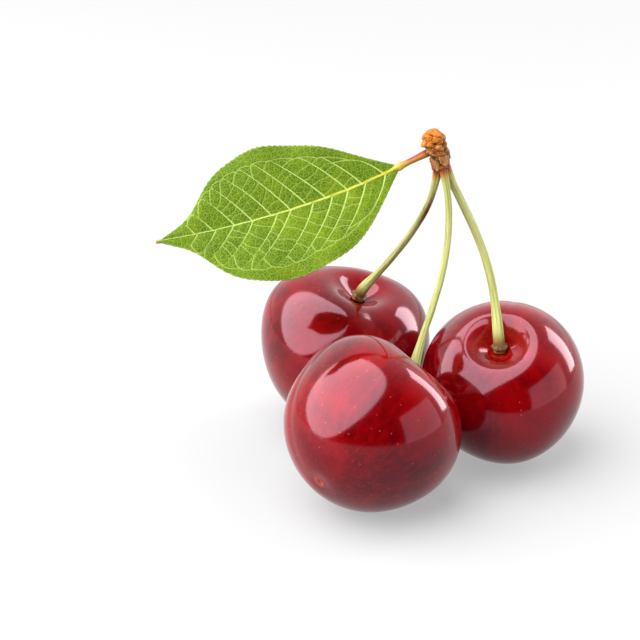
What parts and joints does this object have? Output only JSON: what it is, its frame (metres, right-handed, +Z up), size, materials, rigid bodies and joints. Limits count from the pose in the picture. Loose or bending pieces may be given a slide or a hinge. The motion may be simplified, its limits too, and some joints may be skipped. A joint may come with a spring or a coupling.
{
  "type": "cherries on stalks",
  "caption": "Bunch of glossy dark red sweet cherries on long green stalks that meet at a woody spur with bud scales and a toothed green leaf.",
  "frame": {"origin": "on the surface that the bunch rests on, under the middle of its box", "axes": "+Z up; +X from the leaf's tip towards the right cherry, along the longest side; +Y from the front cherry towards the two at the back"},
  "size_m": [0.0702, 0.0562, 0.0575],
  "materials": {
    "cherry_skin": "gloss",
    "stalk": "satin",
    "spur": "matte",
    "bud_scale": "matte",
    "leaf": "satin"
  },
  "bodies": {
    "root": {"cherry_front": "cherry_skin", "cherry_left": "cherry_skin", "cherry_right": "cherry_skin", "stalk_front": "stalk", "stalk_left": "stalk", "stalk_right": "stalk", "spur": "spur", "bud_scale_1": "bud_scale", "bud_scale_2": "bud_scale", "bud_scale_3": "bud_scale", "bud_scale_4": "bud_scale", "bud_scale_5": "bud_scale", "bud_scale_6": "bud_scale", "leaf": "leaf"}
  },
  "joints": []
}
